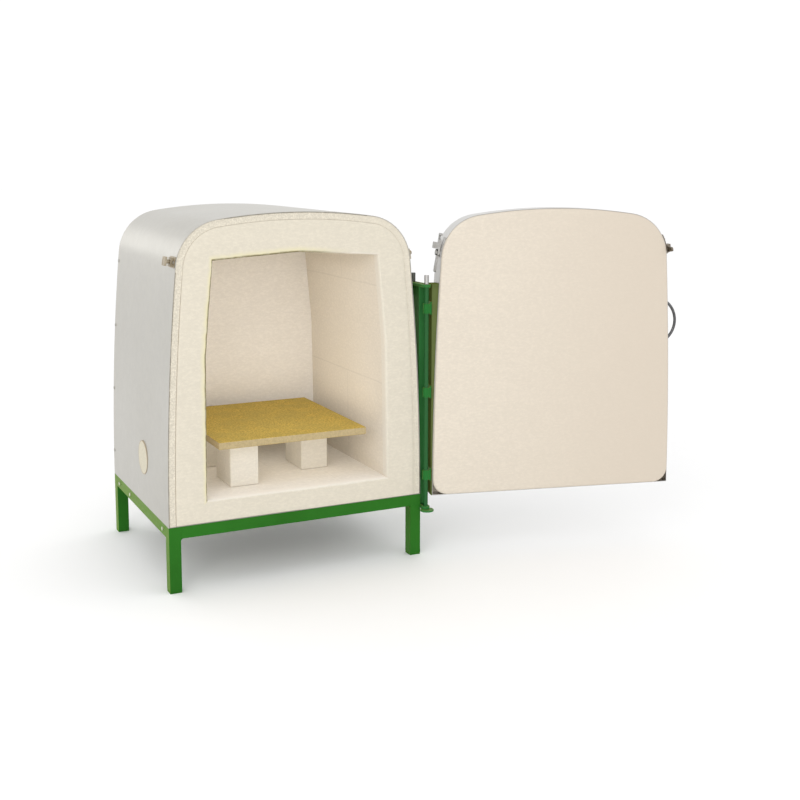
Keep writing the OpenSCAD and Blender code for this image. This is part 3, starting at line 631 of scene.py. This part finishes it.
dress("leg_front_left leg_front_right leg_back_left leg_back_right", green, BAR_EDGE)
dress("rail_front rail_back", green, CUT_EDGE)
dress("rail_left rail_right", green)
dress("leg_feet", green, FOOT_EDGE)
dress("hinge_rail_lug hinge_bracket", green, BAR_EDGE)
dress("door_leaf", leaf_green_lit, CUT_EDGE)
dress("door_lug_top door_lug_middle door_lug_bottom", lug_green, BAR_EDGE)
dress("link_web link_top_plate link_bottom_plate link_foot", link_green_lit, BAR_EDGE)
dress("casing_sheet back_panel back_rivets", casing)
dress("door_pan", pan_metal, SHEET_EDGE)
dress("base_plate", plate)
dress("flue_collar", collar, SHEET_EDGE)
dress("flue_screws", bright, CUT_EDGE)
dress("rail_screws", screw_steel, CUT_EDGE)
dress("keeper_rivets bracket_rivets lug_bolts", bright, SHEET_EDGE)
dress("hinge_rod_rear", rear_rod_paint, BAR_EDGE)
dress("hinge_rod_front", rod_paint, BAR_EDGE)
dress("wall_left wall_right", wall_fibre_shaded)
dress("roof_left roof_right", roof_fibre_lit)
dress("back_slab", back_fibre)
dress("floor_slab", floor_fibre)
dress("prop_front_left prop_right prop_back_left", brick, BRICK_EDGE, WORN_SEGMENTS)
dress("shelf", shelf_ceramic, SHELF_EDGE, WORN_SEGMENTS)
dress("burner_bung", bung_fibre, BAR_EDGE)
dress("keeper_left keeper_right", keeper_steel, CUT_EDGE)
dress("door_backing", pad_fibre)
dress("door_handle handle_feet", handle_steel, CUT_EDGE)
dress("latch_base_hinge_side latch_hook_hinge_side", latch_steel, CUT_EDGE)
dress("latch_stud_hinge_side latch_nut_hinge_side", latch_steel, STUD_EDGE)
dress("latch_base_free_side latch_hook_free_side", brown_steel, CUT_EDGE)
dress("latch_stud_free_side latch_nut_free_side", brown_steel, STUD_EDGE)


# Fibre wrap: a torn, fluffy edge round the front face
def seam_gape(point):
    """How far the seam between wrap and board gapes: fully low on the left, a little elsewhere."""
    least = 0.3
    fade = 0.12
    if point.x > 0:
        return least
    below_corner = arcs(BODY)[1].y - point.y
    return least + (1 - least) * min(1.0, max(0.0, below_corner / fade))


def wrap_section():
    """Section of the wrap as (share of the thickness, depth, roughness), from the outer side round."""
    round_by = 0.0022
    turns = 4
    across = 9
    rough_bend = 0.4
    depth = wrap_high.y - wrap_low.y
    edge = round_by / (BOARD_IN - SEAM - WRAP_OUT)
    outer = []
    for bend in quarter(turns):
        outer.append((edge * (1 - math.cos(bend)), round_by * (1 - math.sin(bend)), rough_bend))
    face = [(edge + (1 - 2 * edge) * k / across, 0.0, 1.0) for k in range(1, across)]
    inner = [(1 - share, y, rough) for share, y, rough in reversed(outer)]
    return [(0.0, depth, 0.0)] + outer + face + inner + [(1.0, depth, 0.0)]


def fibre_edge():
    """Skin of the wrap's section, roughened on its face, with tints: brown for its seam, and painted shade as
    a dark line along its outer edge.
    """
    step = 0.002
    tuft_depth, tuft_scale = 0.0016, 140.0
    nap_depth, nap_scale = 0.0012, 480.0
    nap_away = 1.0
    across_scale = 0.01
    brim = 0.1
    seam_tint = 0.35
    corner_shade, side_shade = 0.2, 0.75
    corner_x, corner_z = arcs(BODY)[1]
    foot = wrap_low.z - STAND
    rows = []
    tints = []
    for share, y, rough in wrap_section():
        inset = WRAP_OUT + share * (BOARD_IN - SEAM - WRAP_OUT)
        row = []
        for p in mirrored(half_outline(BODY, inset, foot, step)):
            tufts = 0.5 + 0.5 * fractal((p.x, share * across_scale, p.y), tuft_scale)
            nap = 0.5 + 0.5 * fractal((p.x, nap_away + share * across_scale, p.y), nap_scale)
            torn = rough * (tuft_depth * tufts + nap_depth * nap)
            gape = seam_gape(p)
            depth = y * gape if 1 - brim < share < 1 else y
            row.append(kiln_point(p.x, depth + max(0.0, torn), p.y))
            # Painted shade: a dark line along the wrap's outer edge, fainter on the upper corners
            at_corner = abs(p.x) > corner_x and p.y > corner_z
            line = corner_shade if at_corner else side_shade
            tints.append((seam_tint * gape * float(share > 1 - brim), line * float(share < brim), 0.0))
        rows.append(row)
    corners, faces = loft(rows + rows[:1], closed=False)
    count = len(rows[0])
    tints += tints[:count]
    for end in (0, count - 1):
        faces.append([r * count + end for r in range(len(rows))])
    piece = new_piece("fibre_wrap_edge", corners, faces, wrap_fibre, "kiln", tints)
    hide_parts("fibre_wrap")


# Front board: rounded, slightly worn edges round the opening, stained on its left and at the top, with
# painted shade darkening the lip's inner side there
def mouth():
    """Opening of the board, from its lower right corner round over the top."""
    return mirrored([MOUTH_FOOT, MOUTH_BEND, MOUTH_SHOULDER, MOUTH_TOP])


def cross(a, b):
    """Cross product of two flat vectors."""
    return a.x * b.y - a.y * b.x


def ray_hit(loop, centre, direction):
    """Where a ray from the centre leaves a closed loop: the point and the number of the loop's side."""
    parallel = 1e-9
    slack = 1e-4
    for side, start in enumerate(loop):
        run = loop[(side + 1) % len(loop)] - start
        turn = cross(direction, run)
        if abs(turn) < parallel:
            continue
        along = cross(direction, centre - start) / turn
        reach = cross(run, centre - start) / turn
        if -slack <= along <= 1 + slack and reach > 0:
            return centre + reach * direction, side
    raise ValueError("the ray leaves no side of the loop")


def spokes(rim, centre):
    """Directions from the centre through each corner of the mouth and each point of the rim."""
    points = mouth() + rim
    return sorted(((p - centre).normalized() for p in points), key=lambda d: math.atan2(d.y, d.x))


def stain_and_shade_at(point, side):
    """Strength of the ochre stain and the painted shade along the mouth's edge, by the side of the opening
    that a point is on.
    """
    right_top, left_top = 2, 3
    fade = 1.5
    if side == right_top:
        return max(0.0, 1.0 - fade * point.x / MOUTH_SHOULDER.x)
    return 1.0 if left_top <= side < len(mouth()) - 1 else 0.0


PLAIN = (0.0, 0.0, 0.0)


def lip_points(lip, strength, clean):
    """Rounded lip of the mouth as (reach, depth, tint), from its inner side to the face."""
    turns = 5
    shade_spread = 2.4
    points = []
    for k, bend in enumerate(quarter(turns)):
        inward = 1 - k / turns
        # Tint: ochre stain, painted shade that darkens towards the lip's inner side, and clean lining colour
        # on that side
        tint = (strength, strength * min(1.0, shade_spread * inward), clean * inward)
        points.append((lip * (1 - math.cos(bend)), lip * (1 - math.sin(bend)), tint))
    return points


def face_points(lip, room, strength, direction):
    """Slightly rippled face beside the lip, in the same form; its points crowd towards the lip."""
    across = 12
    crowding = 1.6
    stain_reach = 0.010
    ripple_depth, ripple_scale = 0.0004, 3.0
    stretch = 8
    points = []
    for k in range(1, across):
        share = (k / across) ** crowding
        reach = lip + share * room
        ripple = ripple_depth * max(0.0, fractal((direction.x, reach * stretch, direction.y), ripple_scale))
        surface_tint = strength * max(0.0, 1 - (reach - lip) / stain_reach)
        points.append((reach, ripple, (surface_tint, 0.0, 0.0)))
    return points


def rim_points(wide, rim_round):
    """Rounding of the board's outer edge, in the same form."""
    turns = 2
    points = []
    for bend in quarter(turns):
        points.append((wide - rim_round * (1 - math.sin(bend)), rim_round * (1 - math.cos(bend)), PLAIN))
    return points


def board_section(rim, direction):
    """Section of the board along one spoke as (place, tint), from behind the mouth to behind the rim."""
    least_lip, lip_wear = 0.005, 0.003
    wear_scale = 28.0
    widest_round = 0.0018
    right_sides = 2
    right_clean = 0.4
    thickness = board_high.y - board_low.y
    inner, side = ray_hit(mouth(), MOUTH_MIDDLE, direction)
    outer = ray_hit(rim, MOUTH_MIDDLE, direction)[0]
    wide = (outer - inner).length
    wear = 0.5 + 0.5 * fractal((inner.x, 0.0, inner.y), wear_scale)
    lip = least_lip + lip_wear * wear
    rim_round = widest_round * seam_gape(outer)
    strength = stain_and_shade_at(inner, side)
    clean = right_clean if side < right_sides else 1.0
    points = [(0.0, thickness, (0.0, 0.0, clean))]
    points += lip_points(lip, strength, clean)
    points += face_points(lip, wide - lip - rim_round, strength, direction)
    points += rim_points(wide, rim_round)
    points.append((wide, thickness, PLAIN))
    section = []
    for reach, depth, tint in points:
        p = inner + reach * direction
        section.append((kiln_point(p.x, depth, p.y), tint))
    return section


def front_board():
    step = 0.004
    foot = board_low.z - STAND
    rim = closed_at_foot(mirrored(half_outline(BODY, BOARD_IN, foot, step)), step)
    sections = [board_section(rim, direction) for direction in spokes(rim, MOUTH_MIDDLE)]
    rows = list(zip(*sections))
    rows.append(rows[0])
    corners, faces = loft([[place for place, tint in row] for row in rows], closed=True)
    tints = [tint for row in rows for place, tint in row]
    piece = new_piece("front_board_face", corners, faces, board, "kiln", tints)
    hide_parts("front_board")


# Door pad: soft edges, rounded lower corners and a slightly uneven face
def pad_rim(step):
    """Outline of the pad on the closed door, with its rounded lower corners."""
    half = half_outline(DOOR, PAD_IN, PAD_FOOT + PAD_CORNER, step)
    centre = half[0] - Vector((PAD_CORNER, 0))
    turns = 10
    corner = []
    for k in range(turns):
        angle = math.pi / 2 * (k / turns - 1)
        corner.append(centre + PAD_CORNER * Vector((math.cos(angle), math.sin(angle))))
    return closed_at_foot(mirrored(corner + half), step)


def door_pad():
    step = 0.006
    soft = 0.006
    turns = 6
    rings = 36
    dip = 0.0010
    dip_scale = 9.0
    dip_octaves = 3
    fade_rings = 4
    centre = Vector((0, DOOR.height / 2))
    rim = pad_rim(step)
    profile = [(0.0, PAD_FACE - PAD_T)]
    for bend in quarter(turns):
        profile.append((soft * (1 - math.cos(bend)), PAD_FACE - soft * (1 - math.sin(bend))))
    rows = [[door_point(centre.x, PAD_FACE - PAD_T, centre.y)] * len(rim)]
    for inset, y in profile:
        row = []
        for p in rim:
            inward = (centre - p).normalized()
            q = p + inset * inward
            row.append(door_point(q.x, y, q.y))
        rows.append(row)
    for ring in range(1, rings + 1):
        row = []
        for p in rim:
            edge = p + soft * (centre - p).normalized()
            q = edge.lerp(centre, ring / rings)
            hollow = max(0.0, 0.5 + 0.5 * fractal((q.x, 0.0, q.y), dip_scale, dip_octaves))
            fade = min(1.0, ring / fade_rings)
            row.append(door_point(q.x, PAD_FACE - dip * hollow * fade, q.y))
        rows.append(row)
    corners, faces = loft(rows, closed=True)
    piece = new_piece("door_pad_face", corners, faces, pad_fibre, "door")
    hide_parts("door_pad")


# Welds in the corners between the legs and the rails
def weld(corner, along, across):
    """Rows of one hollow fillet under a rail: along runs from the leg, across runs over its width."""
    turns = 6
    beads = 14
    swell = 0.07
    rows = []
    for b in range(beads + 1):
        share = b / beads
        size = WELD * (1.0 + swell * math.cos(share * beads * math.pi))
        place = corner + share * across
        row = [place]
        for k in range(turns + 1):
            angle = math.pi / 2 * (1 + k / turns)
            run = size * (1 + math.cos(angle))
            drop = size * (1 - math.sin(angle))
            row.append(place + run * along - Vector((0, 0, drop)))
        rows.append(row)
    return rows


def stand_welds():
    margin = 0.0025
    corners = []
    faces = []
    for rail in ("rail_front", "rail_back", "rail_left", "rail_right"):
        low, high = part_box(rail)
        long_axis = 0 if high.x - low.x > high.y - low.y else 1
        for sign in (1, -1):
            along = Vector((0, 0, 0))
            along[long_axis] = sign
            across = Vector((0, 0, 0))
            across[1 - long_axis] = high[1 - long_axis] - low[1 - long_axis] - 2 * margin
            corner = low.copy()
            corner[1 - long_axis] += margin
            corner[long_axis] = low[long_axis] if sign > 0 else high[long_axis]
            rows = weld(corner, along, across)
            points, skin = loft(rows, closed=True)
            count = len(rows[0])
            caps = [list(range(count)), list(range(len(points) - count, len(points)))]
            faces += [[len(corners) + i for i in face] for face in skin + caps]
            corners += points
    new_piece("stand_welds", corners, faces, green, "kiln")


fibre_edge()
front_board()
door_pad()
stand_welds()


# Floor, light and camera
def floor_material():
    """White floor with a barely uneven tone."""
    net = Net("studio_floor")
    tone = net.ease(net.noise(scale=1.5, detail=3.0), 0.3, 0.7)
    net.set(Base_Color=net.mix(tone, (0.915, 0.915, 0.915), (0.925, 0.925, 0.925)))
    net.set(Roughness=0.7, Specular_IOR_Level=0.2)
    net.bump((net.noise(scale=60.0, detail=3.0), 0.03, 0.001))
    return net.material


FLOOR = 40.0
BACKDROP = 1.1
ground_mesh = bpy.data.meshes.new("studio_floor")
ground_corners = [(-FLOOR, -FLOOR, 0), (FLOOR, -FLOOR, 0), (FLOOR, FLOOR, 0), (-FLOOR, FLOOR, 0)]
ground_mesh.from_pydata(ground_corners, [], [(0, 1, 2, 3)])
ground_mesh.materials.append(floor_material())
ground = bpy.data.objects.new("studio_floor", ground_mesh)
scene.collection.objects.link(ground)

world = bpy.data.worlds.new("studio")
world.use_nodes = True
backdrop = world.node_tree.nodes["Background"]
backdrop.inputs["Color"].default_value = (1.0, 1.0, 1.0, 1.0)
backdrop.inputs["Strength"].default_value = BACKDROP
scene.world = world


WARM_WHITE = (1.0, 0.985, 0.96)


def area_light(name, place, target, size, watts, colour=WARM_WHITE):
    """A rectangular light that looks from its place at the target and is hidden from the camera."""
    light = bpy.data.lights.new(name, "AREA")
    light.shape = "RECTANGLE"
    light.size, light.size_y = size
    light.energy = watts
    light.color = colour
    lamp = bpy.data.objects.new(name, light)
    lamp.location = place
    lamp.rotation_euler = (Vector(target) - Vector(place)).to_track_quat("-Z", "Y").to_euler()
    lamp.visible_camera = False
    scene.collection.objects.link(lamp)


area_light(
    "front_soft",
    place=(-2.4, -3.4, 1.9),
    target=(0.3, -0.2, 0.5),
    size=(1.8, 1.8),
    watts=40,
    colour=(1.0, 0.975, 0.94),
)
area_light(
    "back_strip",
    place=(-2.3, 3.2, 1.75),
    target=(-0.3, 0.0, 0.8),
    size=(2.4, 1.4),
    watts=9,
    colour=(1.0, 1.0, 1.0),
)


def chamber_panels():
    """Weak panels inside the chamber, which keep it as bright as it is in the photograph."""
    left_x, right_x = -0.232, 1.0
    mouth_y, back_y = FRONT + 0.05, 1.0
    middle_z, roof_z, above_z = 0.47, 0.78, 2.0
    back_aim_z = 0.40
    shelf_low, shelf_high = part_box("shelf")
    middle_y = (shelf_low.y + shelf_high.y) / 2
    over_z = shelf_high.z + 0.004
    under_y = shelf_low.y + 0.18
    under_z = shelf_low.z - 0.003
    low_z = under_z - 0.06
    square, broad = (0.5, 0.5), (0.40, 0.36)
    # Straight up or down would leave a panel's turn open, so those targets are a little further back
    nudge = 1e-3
    area_light("left_fill", (left_x, middle_y, middle_z), (right_x, middle_y, middle_z), square, watts=0.10)
    area_light("up_fill", (0.0, middle_y, over_z), (0.0, middle_y + nudge, above_z), broad, watts=0.31)
    area_light("back_fill", (0.0, mouth_y, middle_z), (0.0, back_y, back_aim_z), (0.40, 0.14), watts=0.05)
    area_light("down_fill", (0.0, middle_y, roof_z), (0.0, middle_y + nudge, 0.0), broad, watts=0.11)
    area_light("under_fill", (0.0, under_y, under_z), (0.0, under_y + nudge, 0.0), (0.40, 0.32), watts=0.205)
    area_light("low_fill", (left_x, under_y, low_z), (right_x, under_y, low_z), (0.30, 0.10), watts=0.10)


chamber_panels()

# Camera: place, turn from looking along +Y, and focal length in pixels of the square photograph
CAMERA_AT = Vector((-1.0778, -2.7501 + FRONT, 1.0636))
YAW = math.radians(26.331)
PITCH = math.radians(7.795)
ROLL = math.radians(0.079)
FOCAL_PX = 1183.58
PHOTO_PX = 800
SENSOR = 36.0
SHIFT_UP = -0.1

lens = bpy.data.cameras.new("camera")
lens.sensor_width = SENSOR
lens.lens = FOCAL_PX / PHOTO_PX * SENSOR
lens.shift_y = SHIFT_UP
camera = bpy.data.objects.new("camera", lens)
look = Vector((math.sin(YAW) * math.cos(PITCH), math.cos(YAW) * math.cos(PITCH), -math.sin(PITCH)))
turn = look.to_track_quat("-Z", "Y").to_matrix() @ Matrix.Rotation(ROLL, 3, "Z")
camera.matrix_world = Matrix.Translation(CAMERA_AT) @ turn.to_4x4()
scene.collection.objects.link(camera)
scene.camera = camera
scene.view_settings.view_transform = "Standard"
